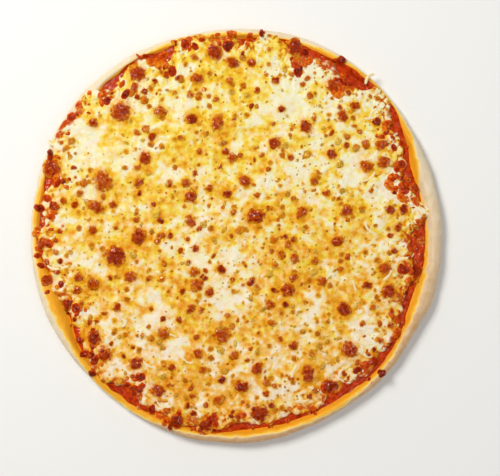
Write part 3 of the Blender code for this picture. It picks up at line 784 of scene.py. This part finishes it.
def melted_cheese(settings):
    """Melted grated cheese, browned in the oven: a milky sheet, cream to golden with its oil, softly glossy,
    freckled where small bubbles browned and wrinkled red-brown where large ones did. The eye reads the paler
    streaks as shreds that didn't quite melt."""
    material, tree, shader, place = new_material("melted_cheese")
    gold, thin, spotting, depth, tone, stain = (
        add_node(tree, "Attribute", {}, out="Fac", attribute_name=field)
        for field in ("gold", "thin", "spotting", "depth", "tone", "stain")
    )
    mottle = add_node(tree, "TexNoise", at_size(place, 4.5, Detail=1.5))
    fine = add_node(tree, "TexNoise", at_size(place, 1.3, Detail=3, Roughness=0.6))
    gold = shifted(tree, gold, mottle, 1.2)
    warm, lemon = (add_node(tree, "ValToRGB", {0: gold}, stops=stops) for stops in (WARM_STOPS, LEMON_STOPS))
    # painted shade: towards the foot the cheese is laid more orange, standing for the light falling off to
    # the lower right
    north = add_node(tree, "SeparateXYZ", {0: place}, out="Y")
    uneven = add_node(tree, "TexNoise", at_size(place, 5.5))
    tint = add_node(tree, "Math", {0: north, 1: 1.3, 2: uneven}, operation="MULTIPLY_ADD")
    tint = add_node(tree, "MapRange", {0: tint, 1: 0.36, 2: 0.64})
    through = add_node(tree, "MapRange", {0: shifted(tree, thin, mottle, 1.2), 1: 0.5, 2: 0.85})
    # the orange and lemon tones vary at random, and the orange also stands as painted shade at the foot
    colour = layered(tree, warm, (tint, lemon), (through, settings.stained))

    # the freckles: round cells on bent coordinates, each as wide and as brown as its own luck
    wobble = add_node(tree, "TexNoise", at_size(place, 2, Detail=1), out="Color")
    bent = add_node(tree, "VectorMath", {0: wobble, 1: (1.8 * MM,) * 3, 2: place}, operation="MULTIPLY_ADD")
    relief = add_node(tree, "TexNoise", at_size(place, 0.9, Detail=3))
    for size, widest, stops in ((4.6, 0.3, FINE_FRECKLE_STOPS), (8.8, 0.38, FRECKLE_STOPS)):
        distance = add_node(tree, "TexVoronoi", at_size(bent, size), voronoi_dimensions="2D")
        luck = add_node(tree, "SeparateColor", {0: distance.node.outputs["Color"]})
        reach = add_node(tree, "Math", {0: luck, 1: spotting}, operation="MULTIPLY")
        edge = add_node(tree, "Math", {0: reach, 1: widest, 2: -0.05}, operation="MULTIPLY_ADD")
        inside = add_node(tree, "Math", {0: edge, 1: distance}, operation="SUBTRACT")
        mask = add_node(tree, "MapRange", {0: inside, 1: 0.0, 2: 0.12})
        darkness = add_node(tree, "MapRange", {0: inside, 1: 0.0, 2: 0.28})
        darkness = shifted(tree, shifted(tree, darkness, luck.node.outputs["Green"], 0.7), mottle, 1.0)
        colour = layered(tree, colour, (mask, add_node(tree, "ValToRGB", {0: darkness}, stops=stops)))
        relief = shifted(tree, relief, mask, 0.5)

    # the blisters: a golden glow round each, and a skin that is browner inwards, olive here and there, and
    # redder near the rim
    lumpy = add_node(tree, "TexNoise", at_size(place, 2.8, Detail=1))
    depth = shifted(tree, shifted(tree, depth, fine, 0.35), lumpy, 0.8)
    glow = add_node(tree, "MapRange", {0: depth, 1: -0.5, 2: 0.15, 4: 0.9})
    glow = add_node(tree, "Math", {0: glow, 1: tone}, operation="MULTIPLY")
    skin = add_node(tree, "MapRange", {0: depth, 1: 0.0, 2: 0.24})
    baking = add_node(tree, "MapRange", {0: depth, 1: 0.0, 2: 0.5, 3: 0.35})
    baking = add_node(tree, "Math", {0: baking, 1: tone}, operation="MULTIPLY")
    uneven = add_node(tree, "TexNoise", at_size(place, 2.4, Roughness=0.6))
    baking = shifted(tree, baking, uneven, 1.1)
    brown, olive, red = (
        add_node(tree, "ValToRGB", {0: baking}, stops=stops)
        for stops in (BROWNED_STOPS, OLIVE_STOPS, STAINED_STOPS)
    )
    greener = shifted(tree, add_node(tree, "TexNoise", at_size(place, 8, Detail=0)), tone, -1.2)
    greener = add_node(tree, "MapRange", {0: greener, 1: 0.6, 2: 0.72})
    redder = add_node(tree, "Math", {0: stain, 1: 0.6}, operation="MULTIPLY")
    brown = layered(tree, brown, (greener, olive), (redder, red))
    wrinkles = add_node(tree, "Math", {0: skin, 1: fine}, operation="MULTIPLY")
    wrinkles = shifted(tree, wrinkles, relief, 0.6)
    oil = add_node(tree, "Math", {0: skin, 1: 0.8, 2: 0.2}, operation="MULTIPLY_ADD")
    feed(tree, shader, {
        "Base Color": layered(tree, colour, (glow, linear(GLOW)), (skin, brown)), "Roughness": 0.45,
        "Normal": add_node(tree, "Bump", {"Height": wrinkles, "Distance": 0.9 * MM}),
        "Subsurface Weight": 0.08, "Subsurface Radius": (1.0, 0.7, 0.4), "Subsurface Scale": 1.0 * MM,
    } | oily_gloss(tree, place, oil, 2.2, 1.0, 0.12))
    return material


def stained_cheese():
    """Cheese that fried in sauce and oil at the rim: orange at its edge and dark red-brown in the middle,
    with an oily, finely wrinkled skin that glints."""
    material, tree, shader, place = new_material("sauce_stained_cheese")
    skin = add_node(tree, "TexNoise", at_size(place, 1.1, Detail=3, Roughness=0.6))
    uneven = add_node(tree, "TexNoise", at_size(place, 1.7, Detail=3, Roughness=0.6))
    browning = add_node(tree, "Attribute", {}, out="Fac", attribute_name="browning")
    browning = shifted(tree, browning, uneven, 1.1)
    feed(tree, shader, {
        "Base Color": add_node(tree, "ValToRGB", {0: browning}, stops=STAINED_STOPS),
        "Roughness": 0.5, "Normal": add_node(tree, "Bump", {"Height": skin, "Distance": 0.5 * MM}),
    } | oily_gloss(tree, place, 0.8, 1.4, 0.8, 0.18))
    return material


def fresh_shred(settings):
    """Grated cheese that only softened: pale, waxy and slightly see-through, so it stays light."""
    material, tree, shader, place = new_material("softened_shred")
    cloudy, relief = (add_node(tree, "TexNoise", at_size(place, size)) for size in (3, 0.8))
    feed(tree, shader, {
        "Base Color": layered(tree, settings.cream, (cloudy, settings.yellow)), "Roughness": 0.4,
        "Normal": add_node(tree, "Bump", {"Height": relief, "Distance": 0.1 * MM}),
        "Subsurface Weight": 0.2, "Subsurface Radius": (1.0, 0.7, 0.4), "Subsurface Scale": 1.5 * MM,
    })
    return material


def cracked_pepper():
    """Ground pepper and dried herb: matt flakes from near black to dull green."""
    material, tree, shader, place = new_material("cracked_pepper")
    mixed = add_node(tree, "TexNoise", at_size(place, 6, Detail=0))
    colour = add_node(tree, "ValToRGB", {0: mixed}, stops=PEPPER_STOPS)
    feed(tree, shader, {"Base Color": colour, "Roughness": 0.7})
    return material


def studio_floor(settings):
    """A pale painted studio floor: matt and even, so that it stays in the background."""
    material, tree, shader, _ = new_material("studio_floor")
    feed(tree, shader, {"Base Color": settings.floor, "Roughness": 0.9, "Specular IOR Level": 0.1})
    return material


def make_crust(settings):
    """The dough: a closed section carried round. Its rings are the floor, an S-shaped slope up to the crest,
    a quarter round out and down to the edge, a second one under it, and the underside. Soft bumps push the
    rim in and out."""
    slope = np.linspace(0, 1, 13)
    outer, lower = np.linspace(0, 0.5 * math.pi, 18), np.linspace(0, 0.5 * math.pi, 12)
    floor_shares = np.array([0.02, 0.5, 0.9])
    under_shares = np.array([0.97, 0.9, 0.8, 0.6, 0.4, 0.2, 0.02])
    rim = np.concatenate((
        CREST_SHARE * slope,
        CREST_SHARE + (1 - CREST_SHARE) * np.sin(outer[1:]),
        UNDERSIDE_SHARE + (1 - UNDERSIDE_SHARE) * np.cos(lower[1:]),
    ))
    rise = np.concatenate((slope * slope * (3 - 2 * slope), np.cos(outer[1:]), np.zeros(len(lower) - 1)))
    base = np.concatenate((np.ones(len(slope) + len(outer) - 1), 1 - np.sin(lower[1:])))

    radius = np.concatenate((
        floor_shares[:, None] * FOOT,
        FOOT + rim[:, None] * (EDGE - FOOT),
        under_shares[:, None] * (FOOT + UNDERSIDE_SHARE * (EDGE - FOOT)),
    ))
    height = np.concatenate((
        np.full((len(floor_shares), TURNS), BASE_HEIGHT),
        base[:, None] * BASE_HEIGHT + rise[:, None] * (CREST - BASE_HEIGHT),
        np.zeros((len(under_shares), TURNS)),
    ))
    x, y = planar(radius)
    fullness = step_up(0.5 * MM, 3 * MM, height) * step_up(0, 2.5 * MM, radius - sauce_outline())
    swell = settings.swell * fullness * layered_noise(x + height, y - height, 8 * MM, 61)
    folds = 0.25 * MM * fullness * soft_noise(DEGREES * MM + 0 * height, radius + height, 1.1 * MM, 62)
    height = height + (swell + folds) * (height > BASE_HEIGHT)
    radius = radius + 0.6 * swell - 0.3 * MM * fullness

    measured = np.arange(len(OIL_REACH)) * 360 / len(OIL_REACH)
    reach = np.interp(DEGREES, measured, OIL_REACH, period=360) * MM + settings.oil_spread
    ragged = 1.2 * MM * layered_noise(x, y, 6 * MM, 63)
    oil = step_up(-2.0 * MM, 3.0 * MM, reach + ragged - radius) * (height > 0.7 * BASE_HEIGHT)
    under = step_up(5 * MM, 0.5 * MM, height)
    # the rim's lower right side, turned from the light, is tan: partly dough that baked more, partly painted
    # shade
    baked_and_shaded = 0.8 * np.exp(-((turn_between(DEGREES, 290) / 68) ** 4)) * step_up(0.5 * MM, 3 * MM, height)
    values, faces = closed_shapes(np.stack((*planar(radius), height, oil, under, baked_and_shaded), -1)[None])
    fields = ("oil", "under", "baked_and_shaded")
    finish_piece("baked_crust", values, faces, baked_dough(settings), ["crust"], fields)


def make_sauce(settings):
    """The sauce: rings of a disc out to a ragged edge that has run a little way up the rim. Each ring has the
    sauce's own height, and the last ones round down just under the dough, where the underside follows it."""
    edge = sauce_outline()
    outermost = 1 - 0.12 * (1 - np.linspace(0, 1, 34)) ** 1.6
    radius = np.concatenate(([0.02], np.linspace(0.3, 0.86, 4), outermost))[:, None] * edge
    x, y = planar(radius)
    dough = crust_top(x, y)
    lip = 1 - (1 - np.clip((edge - radius) / (2.5 * MM), 0, 1)) ** 2
    height = dough + (sauce_height(x, y) - dough) * lip - 0.06 * MM * (1 - lip)
    oil = step_up(1.0 * MM, 0, edge - radius)
    bottom_radius = np.array([0.995, 0.985, 0.97, 0.95, 0.93, 0.9, 0.85, 0.5, 0.02])[:, None] * edge
    bottom = crust_top(*planar(bottom_radius)) - 0.4 * MM
    radius, height = np.concatenate((radius, bottom_radius)), np.concatenate((height, bottom))
    oil = np.concatenate((oil, 0 * bottom))
    values, faces = closed_shapes(np.stack((*planar(radius), height, oil), -1)[None])
    finish_piece("cooked_sauce", values, faces, cooked_sauce(settings), ["tomato_sauce"], ["oil"])


def make_cheese(settings):
    """The melted sheet: a square grid pressed to a disc, where across becomes across times the root of 1
    minus half of along squared, and stretched to the ragged outline. Its underside is three rings, sunk into
    what they lie on, and a fan."""
    sides = np.linspace(-1, 1, CHEESE_GRID)
    across, along = np.meshgrid(sides, sides, indexing="ij")
    disc_x, disc_y = across * np.sqrt(1 - 0.5 * along**2), along * np.sqrt(1 - 0.5 * across**2)
    angle, share = polar(disc_x.ravel(), disc_y.ravel())
    x, y = planar((share + 0.35 * share * (1 - share)) * cheese_radius(angle), np.radians(angle))
    height = cheese_height(x, y)
    fields = cheese_fields(x, y)

    step = np.arange(CHEESE_GRID - 1)
    rim = np.concatenate((
        step * CHEESE_GRID,
        (CHEESE_GRID - 1) * CHEESE_GRID + step,
        CHEESE_GRID**2 - 1 - step * CHEESE_GRID,
        CHEESE_GRID - 1 - step,
    ))
    height[rim] = bare_height(x[rim], y[rim]) - 0.15 * MM
    under = []
    for inset, sunk in ((0.1, 0.7), (3, 0.3), (9, 0.3)):
        ring_x, ring_y = planar(cheese_radius(angle[rim]) - inset * MM, np.radians(angle[rim]))
        under.append(np.stack((ring_x, ring_y, bare_height(ring_x, ring_y) - sunk * MM), -1))
    below = np.concatenate((*under, [[0.0, 0.0, CHEESE_UNDERSIDE]]))
    below = np.pad(below, ((0, 0), (0, len(fields))))
    values = np.concatenate((np.stack((x, y, height, *fields.values()), -1), below))

    rows, columns = np.meshgrid(step, step, indexing="ij")
    corner = (rows * CHEESE_GRID + columns).ravel()
    faces = np.stack((corner, corner + CHEESE_GRID, corner + CHEESE_GRID + 1, corner + 1), -1).tolist()
    loops = [rim] + [CHEESE_GRID**2 + i * len(rim) + np.arange(len(rim)) for i in range(len(under))]
    for outer, inner in zip(loops, loops[1:]):
        faces += np.stack((outer, inner, np.roll(inner, -1), np.roll(outer, -1)), -1).tolist()
    centre = np.full(len(rim), len(values) - 1)
    faces += np.stack((loops[-1], centre, np.roll(loops[-1], -1)), -1).tolist()
    finish_piece("melted_cheese", values, faces, melted_cheese(settings), ["cheese"], fields)


def domes(places, rings, turns, rise, wrinkle, seed):
    """Closed domes on the topping, one to a row of places: a grid of x, y, height and browning. Round each
    one the outline is its ellipse with noise of two sizes. From the middle out, the height falls as a power
    of 1 minus the squared share, with wrinkles, and browning as the fourth power of the share. The last ring
    is the root, sunk into the topping."""
    x0, y0, width, browning, heading, squeeze = (column[:, None, None] for column in places.T)
    item = np.arange(len(places))[:, None, None]
    share = np.append(np.linspace(0.15, 1.0, rings), 0.7)[None, :, None]
    turn = np.arange(turns)[None, None, :] * math.tau / turns
    circle_x, circle_y = np.cos(turn) + 3.7 * item, np.sin(turn) + 0 * item
    lumpy = 1 + 0.2 * soft_noise(circle_x, circle_y, 0.9, seed)
    lumpy = lumpy + 0.12 * share * soft_noise(circle_x, circle_y, 0.4, seed + 1)
    reach = 0.5 * width * share * lumpy
    along, across = reach * np.cos(turn), reach * squeeze * np.sin(turn)
    x = x0 + along * np.cos(heading) - across * np.sin(heading)
    y = y0 + along * np.sin(heading) + across * np.cos(heading)
    dome = np.clip(1 - share**2, 0, 1) ** 1.2
    root = np.zeros((1, rings + 1, 1))
    root[:, -1] = 1.2 * MM
    wrinkles = wrinkle * (layered_noise(x, y, 1.8 * MM, seed + 2, 2) + 0.15) * dome
    height = topping_height(x, y) + rise * width * dome + wrinkles - 0.12 * MM * share**4 - root
    brown = browning * (1 - 0.9 * share**4) + 0.3 * soft_noise(x, y, 1.8 * MM, seed + 4) * dome
    return np.stack((x, y, height, brown), -1)


def edge_lumps():
    """Where the dark, sauce-stained lumps lie: by the clusters along the rim, just inside or over the edge
    of the cheese, as rows like those of the browned spots."""
    draw = random.Random(17)
    rows = []
    for centre, spread, count in EDGE_CLUSTERS:
        for _ in range(count):
            angle = draw.gauss(centre, 0.6 * spread)
            limit = float(at_angle(EDGE, angle)) - 4.5 * MM
            radius = min(float(cheese_radius(angle)) + draw.uniform(-12, 3.5) * MM, limit)
            width, browning = draw.uniform(3.5, 9.5) * MM, draw.uniform(0.15, 1.0)
            turn, heading, squeeze = math.radians(angle), draw.uniform(0, math.pi), draw.uniform(0.55, 0.95)
            rows.append((radius * math.cos(turn), radius * math.sin(turn), width, browning, heading, squeeze))
    return np.array(rows)


def finish_domes(name, grid, fields):
    """Finishes domes with their fields in the melted cheese's own material."""
    values, faces = closed_shapes(np.stack((*np.moveaxis(grid[..., :3], -1, 0), *fields.values()), -1))
    finish_piece(name, values, faces, bpy.data.materials["melted_cheese"], (), fields)


def make_blisters(settings):
    """The browned spots: large wrinkled blisters, medium ones and small freckles in the cheese's own
    material, and sauce-stained lumps along the rim."""
    spots = blister_places(settings.medium, settings.small, settings.seed)
    for name, places, rings, turns, rise, wrinkle, seed in (
        ("large_blisters", spots[0], 13, 34, settings.rise, settings.wrinkle, 14),
        ("medium_blisters", spots[1], 4, 12, 0.8 * settings.rise, 0.6 * settings.wrinkle, 15),
        ("small_freckles", spots[2], 2, 8, 0.08, 0.0, 14),
    ):
        grid = domes(places, rings, turns, rise, wrinkle, seed)
        finish_domes(name, grid, cheese_fields(grid[..., 0], grid[..., 1]))
    values, faces = closed_shapes(domes(edge_lumps(), 9, 20, 0.15, 1.4 * settings.wrinkle, 19))
    finish_piece("sauce_stained_lumps", values, faces, stained_cheese(), (), ["browning"])


def tubes(paths, width, flatness, turns=8):
    """Closed tubes along paths of points: at each point an ellipse across the path, as wide as given and
    flatness times as high, which narrows to both ends as an eighth power of the distance along."""
    tangent = np.gradient(paths, axis=1)
    side = np.stack((-tangent[..., 1], tangent[..., 0], 0 * tangent[..., 0]), -1)
    side /= np.linalg.norm(side, axis=-1, keepdims=True)
    up = np.cross(tangent, side)
    up /= np.linalg.norm(up, axis=-1, keepdims=True)
    along = np.linspace(-1, 1, paths.shape[1])
    girth = 0.5 * width[:, None] * np.sqrt(np.clip(1.02 - along**8, 0.05, 1))
    turn = -np.arange(turns) * math.tau / turns
    across = side[:, :, None] * np.cos(turn)[:, None] + flatness * up[:, :, None] * np.sin(turn)[:, None]
    return closed_shapes(paths[:, :, None] + girth[..., None, None] * across)


def make_curds():
    """The softened curds: small lumps of cheese near the edge and over the sauce, made as the browned spots
    are, but plumper."""
    draw = random.Random(29)
    rows = []
    while len(rows) < CURDS:
        angle = draw.uniform(0, 360)
        outline, limit = float(cheese_radius(angle)), float(at_angle(EDGE, angle)) - 4 * MM
        radius = min(outline + (2.5 - 20 * draw.random() ** 1.5) * MM, limit)
        turn, width = math.radians(angle), draw.uniform(2.5, 6) * MM
        x, y = radius * math.cos(turn), radius * math.sin(turn)
        rows.append((x, y, width, draw.uniform(0.2, 1.1), draw.uniform(0, math.pi), draw.uniform(0.4, 0.9)))
    rows = np.array(rows)
    grid = domes(rows, 4, 10, 0.1, 0.3 * MM, 33)
    fields = cheese_fields(grid[..., 0], grid[..., 1])
    fields["thin"] = fields["thin"] * (0.6 + 0.5 * rows[:, 3, None, None]) + 0.38
    fields["gold"] = fields["gold"] + 0.3
    finish_domes("softened_curds", grid, fields)


def make_shreds(settings):
    """The softened shreds: bent lines that lie half sunk on the topping near the rim."""
    draw = random.Random(8)
    rows = []
    while len(rows) < SHREDS:
        angle = draw.uniform(0, 360)
        inset = draw.uniform(2, 60) * draw.random()
        radius = float(cheese_radius(angle)) - (2 + inset) * MM
        heading, length = draw.uniform(0, math.pi), draw.uniform(6, 14) * MM
        width, bend = draw.uniform(1.5, 2.3) * MM, draw.uniform(-1.4, 1.4)
        rows.append((radius, math.radians(angle), heading, length, width, bend))
    radius, angle, heading, length, width, bend = np.array(rows).T[:, :, None]
    along = np.linspace(-0.5, 0.5, 12) * length
    across = bend * along**2 / length
    x = radius * np.cos(angle) + along * np.cos(heading) - across * np.sin(heading)
    y = radius * np.sin(angle) + along * np.sin(heading) + across * np.cos(heading)
    limit = at_angle(EDGE, polar(x, y)[0]) - 2.5 * MM
    shrink = np.minimum(1, limit / np.hypot(x, y))
    x, y = x * shrink, y * shrink
    paths = np.stack((x, y, topping_height(x, y) - 0.12 * width), -1)
    values, faces = tubes(paths, width[:, 0], 0.5)
    finish_piece("softened_shreds", values, faces, fresh_shred(settings))


def make_rim_shreds():
    """The two pale shreds on the rim: each runs out level to the crest and droops beyond it, as the square of
    the distance past it."""
    thickness, start = 2.2 * MM, 2.5 * MM
    paths = []
    for angle, reach in PALE_SHREDS:
        edge, foot, crest = (float(at_angle(ring, angle)) for ring in (EDGE, FOOT, CREST))
        half = (1 - CREST_SHARE) * (edge - foot)
        share = np.linspace(0, 1, 24)
        radius = edge - half - start + share * (start + half + reach * MM)
        past = np.maximum(0, (radius - edge + half) / half)
        turn = np.radians(angle + 0.8 * np.sin(math.pi * share))
        height = crest + 0.3 * MM + 0.5 * thickness - 0.9 * MM * past**2
        paths.append(np.stack((radius * np.cos(turn), radius * np.sin(turn), height), -1))
    values, faces = tubes(np.array(paths), np.full(len(paths), thickness), 1.0, 12)
    nodes = ["pale_shred_1", "pale_shred_2"]
    finish_piece("rim_shreds", values, faces, bpy.data.materials["softened_shred"], nodes)


def make_rim_scraps():
    """The browned scraps on the rim's crest: each fills the box of its solid with a wrinkled dome, whose
    height falls as the root of 1 minus the squared share, over a foot that reaches down to the dough."""
    nodes = [f"browned_scrap_{i}" for i in range(1, 7)]
    low, high = (np.array([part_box(node)[i] for node in nodes])[:, None, None, :] for i in (0, 1))
    share = np.append(np.linspace(0.1, 1.0, 12), 0.6)[None, :, None]
    turn = np.arange(28)[None, None, :] * math.tau / 28
    item = np.arange(len(nodes))[:, None, None]
    lumpy = 1 + 0.25 * soft_noise(np.cos(turn) + 5.0 * item, np.sin(turn), 0.6, 71)
    x = 0.5 * (low + high)[..., 0] + 0.46 * (high - low)[..., 0] * share * lumpy * np.cos(turn)
    y = 0.5 * (low + high)[..., 1] + 0.46 * (high - low)[..., 1] * share * lumpy * np.sin(turn)
    dome = np.sqrt(np.clip(1 - share**2, 0, 1))
    foot = np.clip(crust_top(x, y), low[..., 2] - 2 * MM, low[..., 2]) - 0.3 * MM
    height = foot + (high[..., 2] - foot) * dome * (0.9 + 0.3 * layered_noise(x, y, 1.6 * MM, 72, 2))
    browning = 0.95 - 0.5 * share**4 + 0.25 * soft_noise(x, y, 2 * MM, 73)
    values, faces = closed_shapes(np.stack((x, y, height, browning), -1))
    material = bpy.data.materials["sauce_stained_cheese"]
    finish_piece("charred_scraps", values, faces, material, nodes, ["browning"])


def make_flecks():
    """Pepper and herb flecks: flat flakes about a millimetre across, scattered over the cheese."""
    draw = random.Random(23)
    rows = []
    while len(rows) < FLECKS:
        radius, angle = 138 * MM * math.sqrt(draw.random()), draw.uniform(0, math.tau)
        x, y = radius * math.cos(angle), radius * math.sin(angle)
        rows.append((x, y, draw.uniform(0.5, 1.3) * MM, 1, draw.uniform(0, math.pi), draw.uniform(0.5, 1)))
    values, faces = closed_shapes(domes(np.array(rows), 2, 6, 0.2, 0, 81))
    values[:, 2] += 0.3 * MM
    finish_piece("pepper_flecks", values, faces, cracked_pepper())


def make_stage(settings):
    """The floor, the soft light from the upper left, its fill, pale walls under a darker ceiling, and the
    camera straight above."""
    mesh = bpy.data.meshes.new("studio_floor")
    side, level = 3.0, -0.5 * MM
    corners = [(-side, -side, level), (side, -side, level), (side, side, level), (-side, side, level)]
    mesh.from_pydata(corners, [], [(0, 1, 2, 3)])
    mesh.materials.append(studio_floor(settings))
    floor = bpy.data.objects.new("studio_floor", mesh)
    bpy.context.scene.collection.objects.link(floor)

    for name, place, size, power, tint in (
        ("key_light", (-0.6, 0.6, 1.15), 0.5, 16, "#FFFCF6"),
        ("fill_light", (0.7, -0.5, 1.2), 1.0, 5, "#FAFBFF"),
    ):
        light = bpy.data.lights.new(name, "AREA")
        light.size = size
        light.energy = power
        light.color = linear(tint)[:3]
        lamp = bpy.data.objects.new(name, light)
        lamp.location = place
        lamp.rotation_euler = (-lamp.location).to_track_quat("-Z", "Y").to_euler()
        bpy.context.scene.collection.objects.link(lamp)

    world = bpy.data.worlds.new("pale_studio")
    world.use_nodes = True
    walls = world.node_tree
    up = add_node(walls, "TexCoord", {}, out="Generated")
    height = add_node(walls, "SeparateXYZ", {0: up}, out="Z")
    glow = add_node(walls, "MapRange", {0: height, 1: 0.0, 2: 0.75, 3: 0.8, 4: 0.12})
    feed(walls, walls.nodes["Background"], {"Strength": glow, "Color": linear("#FFFFFF")})
    bpy.context.scene.world = world

    lens = bpy.data.cameras.new("overhead_camera")
    lens.sensor_width = 36
    width = IMAGE_SIZE_PX[0] * MM_PER_PIXEL * MM
    lens.lens = lens.sensor_width * settings.camera_height / width
    lens.clip_start = 0.05
    camera = bpy.data.objects.new("overhead_camera", lens)
    right, up = 0.5 * IMAGE_SIZE_PX[0] - PIZZA_CENTRE_PX[0], PIZZA_CENTRE_PX[1] - 0.5 * IMAGE_SIZE_PX[1]
    pixel = MM_PER_PIXEL * MM
    camera.location = (right * pixel, up * pixel, settings.camera_height + BASE_HEIGHT)
    bpy.context.scene.collection.objects.link(camera)
    bpy.context.scene.camera = camera
    bpy.context.scene.view_settings.view_transform = "Standard"


class PIZZA_OT_crust(bpy.types.Operator):
    """Make the baked crust"""

    bl_idname = "pizza.crust"
    bl_label = "Crust"

    def execute(self, context):
        make_crust(context.scene.pizza_crust)
        return {"FINISHED"}


class PIZZA_OT_sauce(bpy.types.Operator):
    """Make the tomato sauce"""

    bl_idname = "pizza.sauce"
    bl_label = "Sauce"

    def execute(self, context):
        make_sauce(context.scene.pizza_sauce)
        return {"FINISHED"}


class PIZZA_OT_cheese(bpy.types.Operator):
    """Make the melted cheese"""

    bl_idname = "pizza.cheese"
    bl_label = "Cheese"

    def execute(self, context):
        make_cheese(context.scene.pizza_cheese)
        return {"FINISHED"}


class PIZZA_OT_blisters(bpy.types.Operator):
    """Make the browned blisters, freckles and lumps"""

    bl_idname = "pizza.blisters"
    bl_label = "Blisters"

    def execute(self, context):
        make_blisters(context.scene.pizza_blisters)
        return {"FINISHED"}


class PIZZA_OT_shreds(bpy.types.Operator):
    """Make the softened shreds on the topping and on the rim"""

    bl_idname = "pizza.shreds"
    bl_label = "Shreds"

    def execute(self, context):
        make_curds()
        make_shreds(context.scene.pizza_cheese)
        make_rim_shreds()
        return {"FINISHED"}


class PIZZA_OT_scraps(bpy.types.Operator):
    """Make the charred scraps on the rim and the pepper flecks"""

    bl_idname = "pizza.scraps"
    bl_label = "Scraps and flecks"

    def execute(self, context):
        make_rim_scraps()
        make_flecks()
        return {"FINISHED"}


class PIZZA_OT_stage(bpy.types.Operator):
    """Make the floor, lights and camera"""

    bl_idname = "pizza.stage"
    bl_label = "Stage"

    def execute(self, context):
        make_stage(context.scene.pizza_stage)
        return {"FINISHED"}


OPERATORS = (
    PIZZA_OT_crust, PIZZA_OT_sauce, PIZZA_OT_cheese, PIZZA_OT_blisters, PIZZA_OT_shreds, PIZZA_OT_scraps,
    PIZZA_OT_stage,
)
SETTINGS = {
    "pizza_crust": CrustSettings,
    "pizza_sauce": SauceSettings,
    "pizza_cheese": CheeseSettings,
    "pizza_blisters": BlisterSettings,
    "pizza_stage": StageSettings,
}


class PIZZA_PT_panel(bpy.types.Panel):
    """Lists the pizza's pieces and settings"""

    bl_label = "Cheese Pizza"
    bl_space_type = "VIEW_3D"
    bl_region_type = "UI"
    bl_category = "Pizza"

    def draw(self, context):
        for operator in OPERATORS:
            self.layout.operator(operator.bl_idname)
        for name, group in SETTINGS.items():
            box = self.layout.box()
            for setting in group.__annotations__:
                box.prop(getattr(context.scene, name), setting)


def register():
    """Registers the settings, the operators and the panel."""
    for name, group in SETTINGS.items():
        bpy.utils.register_class(group)
        setattr(bpy.types.Scene, name, PointerProperty(type=group))
    for item in (*OPERATORS, PIZZA_PT_panel):
        bpy.utils.register_class(item)


def unregister():
    """Takes back what register does."""
    for item in (PIZZA_PT_panel, *reversed(OPERATORS)):
        bpy.utils.unregister_class(item)
    for name, group in reversed(SETTINGS.items()):
        delattr(bpy.types.Scene, name)
        bpy.utils.unregister_class(group)


def main():
    """Makes every piece in order."""
    register()
    bpy.ops.pizza.crust()
    bpy.ops.pizza.sauce()
    bpy.ops.pizza.cheese()
    bpy.ops.pizza.blisters()
    bpy.ops.pizza.shreds()
    bpy.ops.pizza.scraps()
    bpy.ops.pizza.stage()


if __name__ == "__main__":
    main()
